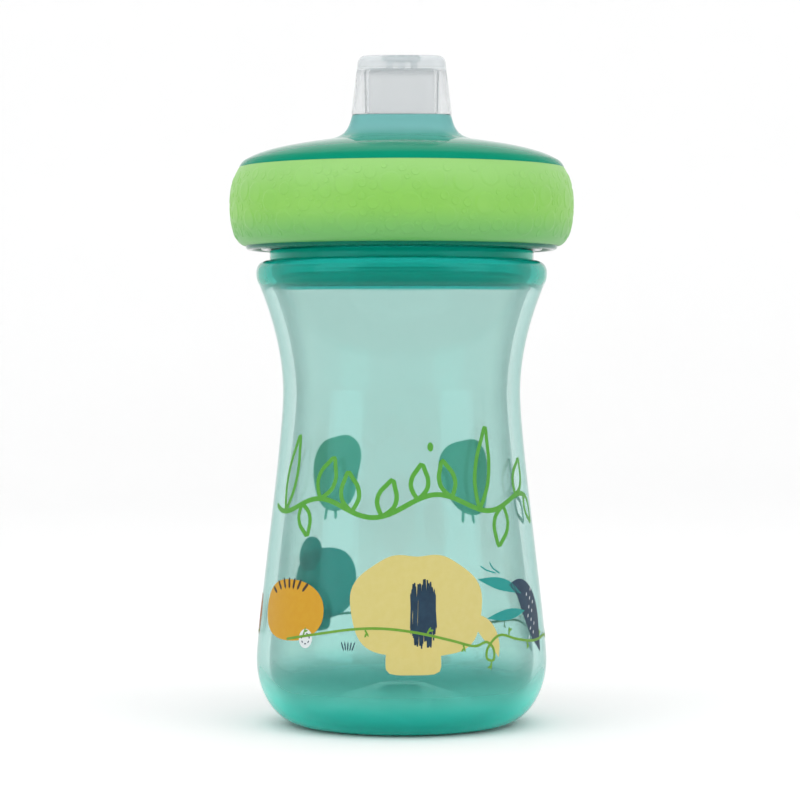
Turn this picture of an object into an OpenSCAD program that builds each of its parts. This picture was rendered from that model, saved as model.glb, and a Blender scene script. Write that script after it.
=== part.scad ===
// Toddler's cup with a soft spout: an hourglass cup, a three-start screw lid with a soft grip ring,
// a silicone spout held from below by a snap-on valve holder, an umbrella vent and a rim seal.
// Millimetres, +Z up, origin at the middle of the standing ring. The cup's front faces -Y.

/* [Cup] */
// Height of the cup up to the top of the stop bead
bead_top = 114.6; // [90:0.2:150]
// Widest diameter, just above the rounded base
base_d = 72; // [60:0.5:90]
// Height at which the cup is widest
base_round_h = 16; // [10:0.5:24]
// Narrowest diameter, at the child's grip
waist_d = 58.8; // [48:0.2:72]
// Height of the narrowest place
waist_z = 82; // [64:0.5:96]
// Wall of the blown body
wall = 3.2; // [1.6:0.1:4]
// Thickness of the floor
floor_t = 3.2; // [2:0.1:4]
// Outer diameter of the flat standing ring
foot_d = 49; // [40:0.5:56]
// Width of the flat standing ring
foot_w = 5; // [3:0.5:8]
// How far the middle of the base is pushed up
push_up = 6.5; // [3:0.5:9]
// Diameter of the gate disc in the middle of the push-up
gate_d = 9; // [5:0.5:14]

/* [Neck] */
// Diameter of the plain band of neck above the bead
neck_d = 65.4; // [52:0.2:80]
// Height of the plain band
band_h = 2.4; // [1:0.1:5]
// How far the bead stands out past the neck
bead_out = 3.3; // [2:0.1:5]
// Height of the bead
bead_h = 6.1; // [4:0.1:9]
// Thickness of the neck's wall at the plain band
neck_wall = 3.5; // [2.9:0.1:5]
// Height of the threaded part of the neck
thread_zone = 21.4; // [18:0.2:30]

/* [Thread] */
// Distance between neighbouring ridges
pitch = 4; // [3.6:0.1:5]
// Number of ridges that start side by side
starts = 3; // [2:1:4]
// How far the threaded part steps in from the plain band
neck_step = 1.7; // [1.5:0.1:2]
// How far a ridge on the neck stands out
ridge_h = 1.2; // [0.9:0.1:1.4]
// Width of a ridge at its root
ridge_root = 1.9; // [1.4:0.1:2]
// Width of a ridge at its crest
ridge_crest = 0.9; // [0.6:0.1:1.2]
// Height of the middle of the lowest ridge above the plain band
ridge_start = 4; // [3.6:0.1:6]
// Part of a full turn that each ridge on the neck runs
neck_ridge_turn = 0.55; // [0.3:0.05:0.7]
// Part of a full turn that each ridge in the lid runs
lid_ridge_turn = 0.42; // [0.25:0.05:0.5]
// Clear space between the lid's ridges and the neck
thread_gap = 0.4; // [0.3:0.05:0.7]

/* [Lid] */
// Clear space between the lid's bore and the plain band
bore_gap = 0.4; // [0.3:0.05:0.8]
// Wall of the threaded skirt
skirt_wall = 1.8; // [1.4:0.1:2.4]
// Open groove between the skirt and the outer shell
shell_gap = 1.9; // [1:0.1:3]
// Wall of the outer shell behind the grip ring
shell_wall = 1.8; // [1.2:0.1:2.4]
// Clear space between the bottom of the lid and the bead
lid_lift = 2.6; // [1:0.1:4]
// Rise of the roof's outside from its edge to the foot of the spout's neck
roof_rise = 6.8; // [5:0.2:12]
// Thickness of the roof over the seal
roof_t = 2; // [1.6:0.1:3]
// Height of the spout's neck above the roof
spout_neck_h = 6; // [4:0.2:9]

/* [Grip ring] */
// Thickness of the soft ring where it bulges most
grip_t = 3.9; // [2.5:0.1:6]
// Thickness of the ring at its top edge
grip_top_t = 1.6; // [1:0.1:2.4]

/* [Seal] */
// Thickness of the rim seal
seal_t = 2; // [1.2:0.1:3]
// Clear space between the seal and the skirt
seal_gap = 0.3; // [0.2:0.05:0.5]

/* [Spout] */
// Width of the spout where it meets the lid
spout_w = 24.8; // [21:0.2:30]
// Depth of the spout where it meets the lid
spout_depth = 17.2; // [14:0.2:21]
// Height of the spout above the lid's neck
spout_h = 14.7; // [10:0.1:20]
// How much each side draws in on the way up
spout_taper = 1.5; // [0.5:0.1:2]
// Wall of the spout at the tip
spout_wall = 2.4; // [1.6:0.1:2.8]
// Radius of the rounded tip
tip_round = 1.6; // [0.8:0.1:2]
// Thickness of the skin with the drinking holes
tip_skin = 1.6; // [1:0.1:2.4]
// Depth of the oval hollow in the tip
tip_hollow = 1.8; // [1:0.1:2.4]
// Length of the oval hollow
hollow_w = 10; // [8:0.5:12]
// Width of the oval hollow
hollow_depth = 6; // [4:0.5:7]
// Diameter of a drinking hole
drink_d = 1.6; // [1:0.1:2]
// Distance between the drinking holes
drink_pitch = 3; // [2.4:0.1:3.4]
// Wall of the lid's neck round the spout's sleeve
spout_neck_wall = 1.6; // [1.2:0.1:2.2]
// Clear space between the sleeve and the lid's neck
sleeve_gap = 0.1; // [0.05:0.05:0.3]
// Height of the round foot under the roof
spout_foot_h = 2.8; // [2:0.1:4]

/* [Valve] */
// Wall of the collar under the roof
collar_wall = 2; // [1.4:0.1:3]
// Clear space between the spout's foot and the collar
foot_gap = 0.2; // [0.1:0.05:0.4]
// Length of the collar below the spout's foot
collar_drop = 5.6; // [5:0.1:8]
// Thickness of the flow valve's flange
valve_t = 1.6; // [1:0.1:2.2]
// Diameter of the flow valve's dome
dome_d = 12; // [9:0.5:13]
// Thickness of the dome's skin
dome_t = 1.1; // [0.8:0.1:1.6]
// Width of the slit in the dome
slit_w = 0.4; // [0.3:0.05:0.6]
// Wall of the valve holder
holder_wall = 1.5; // [1.2:0.1:2.2]
// Clear space between the valve holder and the collar
holder_gap = 0.3; // [0.25:0.05:0.5]
// Height of the valve holder's pull tabs
tab_h = 4; // [2.5:0.5:6]

/* [Vent] */
// Diameter of the vent's stem
vent_stem_d = 3.4; // [2.4:0.1:3.6]
// Diameter of the umbrella
umbrella_d = 8.4; // [8:0.1:9]
// Thickness of the umbrella
umbrella_t = 1.2; // [0.8:0.1:1.6]
// Diameter of an air hole
air_d = 1; // [0.8:0.1:1.2]
// How far the vent sits outwards of the middle between the valve holder and the rim
vent_shift = 0.18; // [-0.4:0.02:0.4]

/* [Hidden] */
$fn = 96;
hull_fn = 32;       // facets of the circles inside a hull
curve_n = 10;       // steps of each curve in an outline
ridge_step = 7.5;   // degrees between two sections of a ridge
sink = 0.5;         // how deep a joined shape starts inside the one it joins
past = 1;           // how far a cut runs past the face it opens
thin = 0.01;        // thickness of the sheets that a hull is drawn over
edge = 0.5;         // small chamfer on moulded edges
through = 10;       // length of a cut that goes right through the roof

// Cup
neck_r = neck_d/2;
root_r = neck_r - neck_step;
bore_r = neck_r - neck_wall;
bead_r = neck_r + bead_out;
bead_low = bead_top - bead_h;
band_top = bead_top + band_h;
rim_z = band_top + thread_zone;
lead = pitch*starts;
bead_root = 0.8;                               // step of the bead outwards from the side below it
bead_inset = 0.3;                              // extra wall inside the bead
base_lean = 0.55;                              // fullness of the base's round corner
base_rise = 8;                                 // straight pull above the widest place
waist_fall = 12;                               // straight pull below the waist
shoulder_lean = 0.62;                          // how far the shoulder leans out towards the bead

// Lid, outwards from the neck and upwards from the rim
skirt_in = neck_r + bore_gap;
skirt_out = skirt_in + skirt_wall;
shell_in = skirt_out + shell_gap;
shell_out = shell_in + shell_wall;
lid_z = bead_top + lid_lift;
seal_top = rim_z + seal_t;
seat_drop = 2.9;                               // from the top of the seal to the ring's top edge
roof_edge_z = seal_top - seat_drop;            // top edge of the grip ring
roof_edge_r = shell_out + grip_top_t;
spout_root_z = roof_edge_z + roof_rise;        // where the roof meets the spout's neck
spout_z = spout_root_z + spout_neck_h;         // where the clear spout starts
spout_top = spout_z + spout_h;
under_z = spout_root_z - roof_t;               // underside of the roof round the collar
roof_crown_r = 19;                             // where the roof's curve ends and its middle starts
ring_seat = 1.2;                               // slant of the seat at the ring's top edge
ring_lift = 1;                                 // from the bottom of the lid to the ring

// Spout and valve, worked inwards from the spout's outside
sleeve_hole = [spout_w - 2*spout_neck_wall, spout_depth - 2*spout_neck_wall];
sleeve = [sleeve_hole.x - 2*sleeve_gap, sleeve_hole.y - 2*sleeve_gap];
passage = [spout_w - 2*spout_taper - 2*spout_wall, spout_depth - 2*spout_taper - 2*spout_wall];
spout_corner = 6;                              // corner radius of the spout at the lid
tip_corner = 5;                                // corner radius of the spout at the tip
hole_corner = 4.6;                             // corner radius of the hole for the sleeve
passage_corner = 4;                            // corner radius of the passage
foot_cover = 0.1;                              // how far the foot reaches past the sleeve's corners
foot_r = norm(sleeve)/2 + foot_cover;
collar_in = foot_r + foot_gap;
collar_out = collar_in + collar_wall;
foot_z = under_z - spout_foot_h;
valve_z = foot_z - valve_t;
collar_z = foot_z - collar_drop;
holder_in = collar_out + holder_gap;
holder_out = holder_in + holder_wall;
holder_drop = 2.4;                             // from the collar's end to the bottom of the holder
holder_play = 1.4;                             // from the top of the holder to the roof
holder_z = collar_z - holder_drop;
holder_top = under_z - holder_play;
upstand_wall = 2.6;                            // wall of the holder's ring that presses on the valve
valve_window = 2.4;                            // how much wider than the dome the holder's hole is
tab_w = 12;                                    // width of a pull tab
vent_pad_drop = 0.2;                           // from the top of the seal to the vent's pad
vent_pad_t = 1.8;                              // thickness of the vent's pad
vent_pad_z = seal_top - vent_pad_drop;
vent_floor_z = vent_pad_z + vent_pad_t;
vent_r = (holder_out + bore_r)/2 + vent_shift; // distance of the vent from the lid's axis
vent_play = 0.8;                               // room between the umbrella and what is beside it
vent_room = bore_r - holder_out - 2*vent_play; // room for the umbrella, across
vent_fit = min(1, vent_room/umbrella_d);       // size of the vent beside its named size, in a narrow neck
umbrella_r = vent_fit*umbrella_d/2;
stem_r = vent_fit*vent_stem_d/2;
air_r = vent_fit*air_d/2;
recess_rim = vent_fit*0.6;                     // how much smaller than the umbrella the recess is
stem_play = 0.1;                               // clear space round the vent's stem
bulb_r = stem_r + vent_fit*0.8;                // radius of the bulb that holds the vent
bulb_h = 1.3;                                  // height of the bulb

// Points of a smooth curve from a to d that leaves towards b and arrives from c
function curve(a, b, c, d, n = curve_n) =
    [for (i = [1:n]) let (t = i/n, u = 1 - t) u*u*u*a + 3*u*u*t*b + 3*u*t*t*c + t*t*t*d];

// Side of the cup from the standing ring to the bead, drawn in by d for the inside
function hourglass(d, low_r, low_z) = let (
    wide = base_d/2 - d,
    waist = waist_d/2 - d,
    top = bead_r - bead_root - d,
    third = (bead_low - waist_z)/3
) concat(
    [[low_r, low_z]],
    curve([low_r, low_z], [low_r + base_lean*(wide - low_r), low_z],
          [wide, base_round_h - base_lean*(base_round_h - low_z)], [wide, base_round_h]),
    curve([wide, base_round_h], [wide, base_round_h + base_rise],
          [waist, waist_z - waist_fall], [waist, waist_z]),
    curve([waist, waist_z], [waist, waist_z + third],
          [top - (top - waist)*shoulder_lean, bead_low - third], [top, bead_low]));

// Outside and inside of the bead, as curves that end on the neck
function bead_outside() = concat(
    curve([bead_r - bead_root, bead_low], [bead_r - 0.3, bead_low + 0.9],
          [bead_r, bead_low + 1.5], [bead_r, bead_top - bead_h/2]),
    curve([bead_r, bead_top - bead_h/2], [bead_r, bead_top - 0.8],
          [bead_r - bead_out*0.45, bead_top], [neck_r, bead_top]));
function bead_inside() = let (r = bead_r - neck_wall - bead_inset)
    curve([bore_r, band_top], [bore_r, bead_top], [r, bead_top], [r, bead_low + bead_h/2]);

function cup_outline() = concat(
    [[0, push_up], [gate_d/2, push_up], [foot_d/2 - foot_w, 0]],
    hourglass(0, foot_d/2, 0),
    bead_outside(),
    [[neck_r, band_top], [root_r, band_top + 0.6], [root_r, rim_z - edge], [root_r - edge, rim_z],
     [bore_r + edge, rim_z], [bore_r, rim_z - edge], [bore_r, band_top]],
    bead_inside(),
    reverse(hourglass(wall, foot_d/2, floor_t)),
    [[gate_d/2 + 1, push_up + floor_t], [0, push_up + floor_t]]);

function reverse(list) = [for (i = [len(list) - 1:-1:0]) list[i]];

// One helical ridge on radius r that stands out by h (inwards if h is negative)
module ridge(r, h, turn) {
    n = ceil(turn*360/ridge_step);
    side = sign(h);
    function section(i) = let (
        phi = i*turn*360/n,
        fade = min(1, i/3, (n - i)/3),
        root = ridge_root/2,
        crest = ridge_root/2 + (ridge_crest - ridge_root)/2*fade,
        r_root = r - side*sink,
        r_crest = r + side*0.05 + (h - side*0.05)*fade,
        z = lead*phi/360
    ) [for (q = [[r_root, -root], [r_crest, -crest], [r_crest, crest], [r_root, root]])
        [q.x*cos(phi), q.x*sin(phi), z + q.y]];
    points = [for (i = [0:n]) each section(i)];
    sides = [for (i = [0:n - 1]) for (j = [0:3]) let (a = 4*i + j, b = 4*i + (j + 1)%4)
        side > 0 ? [a, b, b + 4, a + 4] : [a, a + 4, b + 4, b]];
    ends = side > 0 ? [[3, 2, 1, 0], [4*n, 4*n + 1, 4*n + 2, 4*n + 3]]
                    : [[0, 1, 2, 3], [4*n + 3, 4*n + 2, 4*n + 1, 4*n]];
    polyhedron(points, concat(sides, ends), convexity = 6);
}

module ridges(r, h, turn, z) {
    for (k = [0:starts - 1]) rotate(k*360/starts) translate([0, 0, z]) ridge(r, h, turn);
}

// Flat outline with round ends: size is its full width and depth
module rounded(size, r, fn = $fn) {
    square([size.x - 2*r, size.y], center = true);
    square([size.x, size.y - 2*r], center = true);
    for (x = [-1, 1], y = [-1, 1])
        translate([x*(size.x/2 - r), y*(size.y/2 - r)]) circle(r, $fn = fn);
}

// Solid between two rounded outlines at heights z0 and z1
module blend(size0, r0, z0, size1, r1, z1) {
    hull() {
        translate([0, 0, z0]) linear_extrude(thin) rounded(size0, r0, hull_fn);
        translate([0, 0, z1 - thin]) linear_extrude(thin) rounded(size1, r1, hull_fn);
    }
}

module cup_body() {
    color([0.62, 0.81, 0.78, 0.5]) {
        rotate_extrude(convexity = 6) polygon(cup_outline());
        ridges(root_r, ridge_h, neck_ridge_turn, band_top + ridge_start);
    }
}

// Outside of the roof, from the ring's top edge inwards
function roof_curve() = curve([roof_edge_r, roof_edge_z], [roof_edge_r - 1.3, roof_edge_z + 2],
    [roof_edge_r - 5.2, roof_edge_z + 4.1], [roof_edge_r - 12.2, roof_edge_z + 5.4]);

module lid_section() {
    polygon(concat(
        [[shell_in, lid_z], [shell_out - ring_lift, lid_z], [shell_out, lid_z + ring_lift],
         [shell_out, roof_edge_z - ring_seat], [roof_edge_r, roof_edge_z]],
        roof_curve(),
        [[roof_crown_r, spout_root_z], [0, spout_root_z], [0, under_z], [collar_out, under_z],
         [bore_r - 0.6, seal_top], [skirt_in, seal_top], [skirt_in, lid_z + edge],
         [skirt_in + edge, lid_z], [skirt_out, lid_z], [skirt_out, roof_edge_z + 0.6],
         [shell_in, roof_edge_z + 0.2]]));
}

// The lid's neck: straight inside, and swept out into the roof by a hollow quarter round
module spout_neck() {
    steps = 5;
    function flare(a) = spout_neck_h*(1 - sin(a));
    function height(a) = spout_root_z + spout_neck_h*(1 - cos(a));
    for (i = [0:steps - 1]) let (
        a0 = i*90/steps,
        a1 = (i + 1)*90/steps,
        e0 = flare(a0),
        e1 = flare(a1)
    ) blend([spout_w + 2*e0, spout_depth + 2*e0], spout_corner + e0, height(a0),
            [spout_w + 2*e1, spout_depth + 2*e1], spout_corner + e1, height(a1));
}

module lid_shell() {
    color([0.0, 0.57, 0.47, 0.75]) {
        difference() {
            union() {
                rotate_extrude(convexity = 6) lid_section();
                spout_neck();
                translate([0, 0, collar_z])
                    cylinder(r = collar_out, h = under_z - collar_z + sink);
                translate([0, vent_r, vent_pad_z])
                    cylinder(r = umbrella_r, h = spout_root_z - vent_pad_z - roof_t + sink);
            }
            translate([0, 0, collar_z - past])
                cylinder(r = collar_in, h = under_z - collar_z + past);
            translate([0, 0, collar_z]) linear_extrude(spout_z - collar_z + past)
                rounded(sleeve_hole, hole_corner);
            translate([0, vent_r, vent_pad_z - past])
                cylinder(r = stem_r + stem_play, h = through);
            translate([0, vent_r, vent_floor_z]) cylinder(r = umbrella_r - recess_rim, h = through);
            for (x = [-1, 1])
                translate([x*(stem_r + 2*air_r), vent_r, vent_pad_z - past])
                    cylinder(r = air_r, h = through, $fn = 24);
        }
        ridges(skirt_in, root_r + thread_gap - skirt_in, lid_ridge_turn,
               band_top + ridge_start - pitch/2);
    }
}

module grip_ring() {
    low = lid_z + ring_lift;
    wide_z = low + 0.54*(roof_edge_z - low);
    wide_r = shell_out + grip_t;
    color([0.57, 0.84, 0.37])
        rotate_extrude(convexity = 4) polygon(concat(
            [[shell_out, roof_edge_z - ring_seat], [shell_out, low]],
            curve([shell_out, low], [shell_out + 2.2, low + 0.2],
                  [wide_r, low + 3.4], [wide_r, wide_z]),
            curve([wide_r, wide_z], [wide_r, wide_z + 4],
                  [roof_edge_r + 1.4, roof_edge_z - 2.2], [roof_edge_r, roof_edge_z])));
}

module spout() {
    tip = [spout_w - 2*spout_taper, spout_depth - 2*spout_taper];
    tip_in = [tip.x - 2*tip_round, tip.y - 2*tip_round];
    mid = [tip.x - 0.6*tip_round, tip.y - 0.6*tip_round];
    color([0.87, 0.88, 0.89, 0.5])
        difference() {
            union() {
                blend([spout_w, spout_depth], spout_corner, spout_z,
                      tip, tip_corner, spout_top - tip_round);
                blend(tip, tip_corner, spout_top - tip_round,
                      mid, tip_corner - 0.4, spout_top - 0.3*tip_round);
                blend(mid, tip_corner - 0.4, spout_top - 0.3*tip_round,
                      tip_in, tip_corner - tip_round, spout_top);
                translate([0, 0, foot_z + sink]) linear_extrude(spout_z - foot_z)
                    rounded(sleeve, hole_corner - sleeve_gap);
                translate([0, 0, foot_z]) cylinder(r = foot_r, h = spout_foot_h);
            }
            translate([0, 0, foot_z - past])
                linear_extrude(spout_top - tip_hollow - tip_skin - foot_z + past)
                    rounded(passage, passage_corner);
            translate([0, 0, spout_top - tip_hollow]) linear_extrude(tip_hollow + past)
                rounded([hollow_w, hollow_depth], hollow_depth/2 - 0.1);
            for (i = [-1:1])
                translate([i*drink_pitch, 0, spout_top - tip_hollow - tip_skin - past])
                    cylinder(d = drink_d, h = tip_skin + 2*past, $fn = 32);
        }
}

module flow_valve() {
    r = dome_d/2;
    color([0.93, 0.94, 0.95, 0.8])
        difference() {
            union() {
                translate([0, 0, valve_z]) cylinder(r = foot_r - foot_cover, h = valve_t);
                translate([0, 0, valve_z]) sphere(r);
            }
            translate([0, 0, valve_z + valve_t]) cylinder(r = foot_r + past, h = r + past);
            translate([0, 0, valve_z]) sphere(r - dome_t);
            translate([0, 0, valve_z]) cylinder(r = r - dome_t, h = valve_t + past);
            translate([0, 0, valve_z - r])
                cube([0.9*r, slit_w, 2*r], center = true);
        }
}

module valve_holder() {
    upstand_r = foot_r - edge;
    floor_top = holder_z + holder_wall;
    color([0.95, 0.96, 0.97]) {
        difference() {
            translate([0, 0, holder_z]) cylinder(r = holder_out, h = holder_top - holder_z);
            translate([0, 0, floor_top]) cylinder(r = holder_in, h = holder_top);
            translate([0, 0, holder_z - past])
                cylinder(d = dome_d + valve_window, h = holder_wall + 2*past);
        }
        translate([0, 0, floor_top - sink]) difference() {
            cylinder(r = upstand_r, h = valve_z - floor_top + sink);
            translate([0, 0, -past])
                cylinder(r = upstand_r - upstand_wall, h = valve_z - holder_z + past);
        }
        for (x = [-1, 1])
            translate([x*(holder_out - upstand_wall), 0, holder_z - tab_h/2 + sink/2])
                cube([holder_wall, tab_w, tab_h + sink], center = true);
    }
}

module vent_valve() {
    color([0.93, 0.94, 0.95, 0.9])
        translate([0, vent_r, 0]) {
            translate([0, 0, vent_pad_z - umbrella_t])
                cylinder(r1 = umbrella_r - 0.7, r2 = umbrella_r - 0.2, h = umbrella_t);
            translate([0, 0, vent_pad_z - sink])
                cylinder(r = stem_r, h = vent_floor_z - vent_pad_z + 2*sink);
            translate([0, 0, vent_floor_z])
                cylinder(r1 = bulb_r, r2 = bulb_r - recess_rim, h = bulb_h);
        }
}

module lid_seal() {
    r_in = bore_r + 0.2;
    r_out = skirt_in - seal_gap;
    color([0.95, 0.96, 0.96])
        rotate_extrude() polygon([
            [r_in, rim_z], [r_out - 0.3, rim_z], [r_out, rim_z + 0.3], [r_out, seal_top - 0.3],
            [r_out - 0.3, seal_top], [r_in + 0.3, seal_top], [r_in, seal_top - 0.3]]);
}

cup_body();
lid_shell();
grip_ring();
spout();
flow_valve();
valve_holder();
vent_valve();
lid_seal();
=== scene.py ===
"""A toddler's cup with a soft spout: clear tinted cup and lid, soft ring, silicone spout and printed ink.

Outlines and sizes are in millimetres; mesh_piece() turns each finished mesh into metres.
"""

import math
import random

import bmesh
import bpy
import numpy as np
from mathutils import Matrix, Vector
from mathutils.geometry import interpolate_bezier

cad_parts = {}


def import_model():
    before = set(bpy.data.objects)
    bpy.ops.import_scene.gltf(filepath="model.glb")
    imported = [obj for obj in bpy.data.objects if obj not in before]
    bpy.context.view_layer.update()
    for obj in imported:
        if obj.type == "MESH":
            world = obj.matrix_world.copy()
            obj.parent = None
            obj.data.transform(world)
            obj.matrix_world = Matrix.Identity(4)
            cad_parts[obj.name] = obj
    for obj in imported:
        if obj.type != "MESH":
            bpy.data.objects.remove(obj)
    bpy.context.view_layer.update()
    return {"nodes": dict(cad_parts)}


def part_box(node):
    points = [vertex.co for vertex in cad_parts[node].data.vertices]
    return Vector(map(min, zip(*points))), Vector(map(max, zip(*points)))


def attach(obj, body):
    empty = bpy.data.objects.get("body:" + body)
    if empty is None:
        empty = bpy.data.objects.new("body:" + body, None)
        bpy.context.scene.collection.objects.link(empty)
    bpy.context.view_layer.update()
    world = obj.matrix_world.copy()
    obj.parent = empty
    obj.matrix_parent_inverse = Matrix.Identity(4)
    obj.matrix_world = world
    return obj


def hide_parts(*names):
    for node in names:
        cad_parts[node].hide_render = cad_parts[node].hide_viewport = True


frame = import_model()

MM = 0.001
SIDES = 192                       # facets round the cup and the lid
SHARP = math.radians(38)          # edges sharper than this keep their crease


def box_mm(node):
    """Lowest and highest corner of a CAD node, in millimetres."""
    low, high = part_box(node)
    return low / MM, high / MM


# ---------------------------------------------------------------- sizes, in mm

cup_high = box_mm("cup_body")[1]
ring_low, ring_high = box_mm("grip_ring")
spout_low, spout_high = box_mm("spout")
lid_low = box_mm("lid_shell")[0]
vent_low, vent_high = box_mm("vent_valve")

base_r = cup_high.x
base_round_h = 16
foot_r = 24.5
foot_w = 5
push_up = 6.5
gate_r = 4.5
wall = 3.2
waist_r = 29.4
waist_z = 82
bead_low = 108.5
bead_top = 114.6
bead_r = 36
bead_inset = 0.8                  # how much narrower the bead is where it leaves the side
neck_r = 32.7
band_top = 117
root_r = 31
bore_r = 29.2
rim_z = cup_high.z

lead = 12                         # rise of the screw thread in one turn
starts = 3
ridge_h = 1.2
cup_ridge_z = 121
cup_ridge_turn = 0.55
lid_ridge_z = 119
lid_ridge_turn = 0.42

lid_z = lid_low.z
skirt_in = 33.1
skirt_out = 34.9
shell_in = 36.8
shell_out = 38.6
roof_edge_r = 40.2
roof_edge_z = ring_high.z
seal_top = 140.4
under_z = 142.3
roof_foot_r = 19
roof_foot_z = 144.3
collar_in = 13.03
collar_out = 15.03
collar_z = 133.9

spout_z = 150.3
spout_top = spout_high.z
neck_half = (12.4, 8.6)           # half width and half depth of the lid's neck
hole_half = (10.8, 7.0)
sleeve_half = (10.7, 6.9)
passage_half = (8.5, 4.7)
tip_half = (10.9, 7.1)
hollow_half = (5.0, 3.0)
hollow_depth = 1.8
tip_skin = 1.6
squareness = 4.2                  # exponent of the spout's rounded oblong
spout_foot_r = spout_high.x
spout_foot_z = spout_low.z

vent_y = (vent_low.y + vent_high.y) / 2
vent_pad_z = 140.2
vent_floor_z = 142.0
vent_boss_r = 4.2
vent_recess_r = 3.6
stem_hole_r = 1.8
air_hole_r = 0.5
air_hole_x = 2.7                  # from the vent's middle to each air hole
drinking_hole_r = 0.8
drinking_hole_gap = 3             # from one drinking hole's middle to the next


# ---------------------------------------------------------------- shapes

def curve(a, b, c, d, steps=16):
    """Points of a smooth curve from a, leaving towards b, and arriving at d from c."""
    return [tuple(p) for p in interpolate_bezier(Vector(a), Vector(b), Vector(c), Vector(d), steps + 1)]


def filleted(corners, steps=4):
    """An outline whose corners that are given as (r, z, radius) are rounded."""
    done = []
    for i, corner in enumerate(corners):
        if len(corner) == 2 or i in (0, len(corners) - 1):
            done.append(tuple(corner[:2]))
            continue
        here = Vector(corner[:2])
        before = Vector(corners[i - 1][:2]) - here
        after = Vector(corners[i + 1][:2]) - here
        half_turn = (math.pi - before.angle(after)) / 2
        cut = min(corner[2] * math.tan(half_turn), 0.49 * before.length, 0.49 * after.length)
        start = here + cut * before.normalized()
        end = here + cut * after.normalized()
        done += curve(start, start.lerp(here, 0.55), end.lerp(here, 0.55), end, steps)
    return done


def mesh_piece(name, bm, scale=MM):
    """Turns a bmesh in millimetres into a smooth-shaded object in metres."""
    bmesh.ops.scale(bm, vec=(scale, scale, scale), verts=bm.verts)
    mesh = bpy.data.meshes.new(name)
    bm.to_mesh(mesh)
    bm.free()
    mesh.shade_smooth()
    mesh.set_sharp_from_angle(angle=SHARP)
    piece = bpy.data.objects.new(name, mesh)
    bpy.context.scene.collection.objects.link(piece)
    return piece


def spun(name, outline, steps=SIDES, closed=True, scale=MM):
    """A solid of revolution round Z from an outline of (r, z) points."""
    bm = bmesh.new()
    verts = [bm.verts.new((r, 0, z)) for r, z in outline]
    edges = [bm.edges.new(pair) for pair in zip(verts, verts[1:])]
    if closed:
        edges.append(bm.edges.new((verts[-1], verts[0])))
    bmesh.ops.spin(bm, geom=verts + edges, cent=(0, 0, 0), axis=(0, 0, 1), angle=math.tau,
                   steps=steps, use_merge=True)
    bmesh.ops.remove_doubles(bm, verts=bm.verts, dist=0.001)
    bmesh.ops.recalc_face_normals(bm, faces=bm.faces)
    return mesh_piece(name, bm, scale)


def oblong(angle, width, depth, power):
    """Distance from the axis to a rounded oblong's edge; power 2 is an ellipse."""
    return (abs(math.cos(angle) / width) ** power + abs(math.sin(angle) / depth) ** power) ** (-1 / power)


def set_section(verts, section):
    """Moves a loop of vertices onto a section: (half width, half depth, power, z)."""
    width, depth, power, z = section
    for vert in verts:
        angle = math.atan2(vert.co.y, vert.co.x)
        reach = oblong(angle, width, depth, power)
        vert.co = (reach * math.cos(angle), reach * math.sin(angle), z)


def extruded_loop(bm, edges):
    """Extrudes a loop of edges and returns its new vertices and new loop of edges."""
    made = bmesh.ops.extrude_edge_only(bm, edges=edges)["geom"]
    verts = [part for part in made if isinstance(part, bmesh.types.BMVert)]
    fresh = set(verts)
    loop = [part for part in made
            if isinstance(part, bmesh.types.BMEdge) and fresh.issuperset(part.verts)]
    return verts, loop


def lofted(name, sections, closed=False):
    """A skin over one section after another; closed joins the last to the first, else both ends are filled."""
    bm = bmesh.new()
    verts = bmesh.ops.create_circle(bm, segments=SIDES, radius=1)["verts"]
    first = list(bm.edges)
    set_section(verts, sections[0])
    loop = first
    for section in sections[1:]:
        verts, loop = extruded_loop(bm, loop)
        set_section(verts, section)
    if closed:
        bmesh.ops.bridge_loops(bm, edges=first + loop)
    else:
        bmesh.ops.edgeloop_fill(bm, edges=first)
        bmesh.ops.edgeloop_fill(bm, edges=loop)
    bmesh.ops.remove_doubles(bm, verts=bm.verts, dist=0.0005)
    bmesh.ops.recalc_face_normals(bm, faces=bm.faces)
    return mesh_piece(name, bm)


def rod(name, radius, low, high, x=0.0, y=0.0, segments=48):
    """A plain cylinder along Z, used to cut a hole or to add a boss."""
    bm = bmesh.new()
    bmesh.ops.create_cone(bm, cap_ends=True, segments=segments, radius1=radius, radius2=radius,
                          depth=high - low)
    bmesh.ops.translate(bm, vec=(x, y, (low + high) / 2), verts=bm.verts)
    return mesh_piece(name, bm)


def combine(piece, operation, other):
    """Joins other onto piece (UNION) or cuts it out (DIFFERENCE), and removes other."""
    modifier = piece.modifiers.new(operation, "BOOLEAN")
    modifier.operation = operation
    modifier.solver = "MANIFOLD"
    modifier.object = other
    graph = bpy.context.evaluated_depsgraph_get()
    mesh = bpy.data.meshes.new_from_object(piece.evaluated_get(graph))
    piece.modifiers.clear()
    piece.data = mesh
    mesh.shade_smooth()
    mesh.set_sharp_from_angle(angle=SHARP)
    bpy.data.objects.remove(other)


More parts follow.
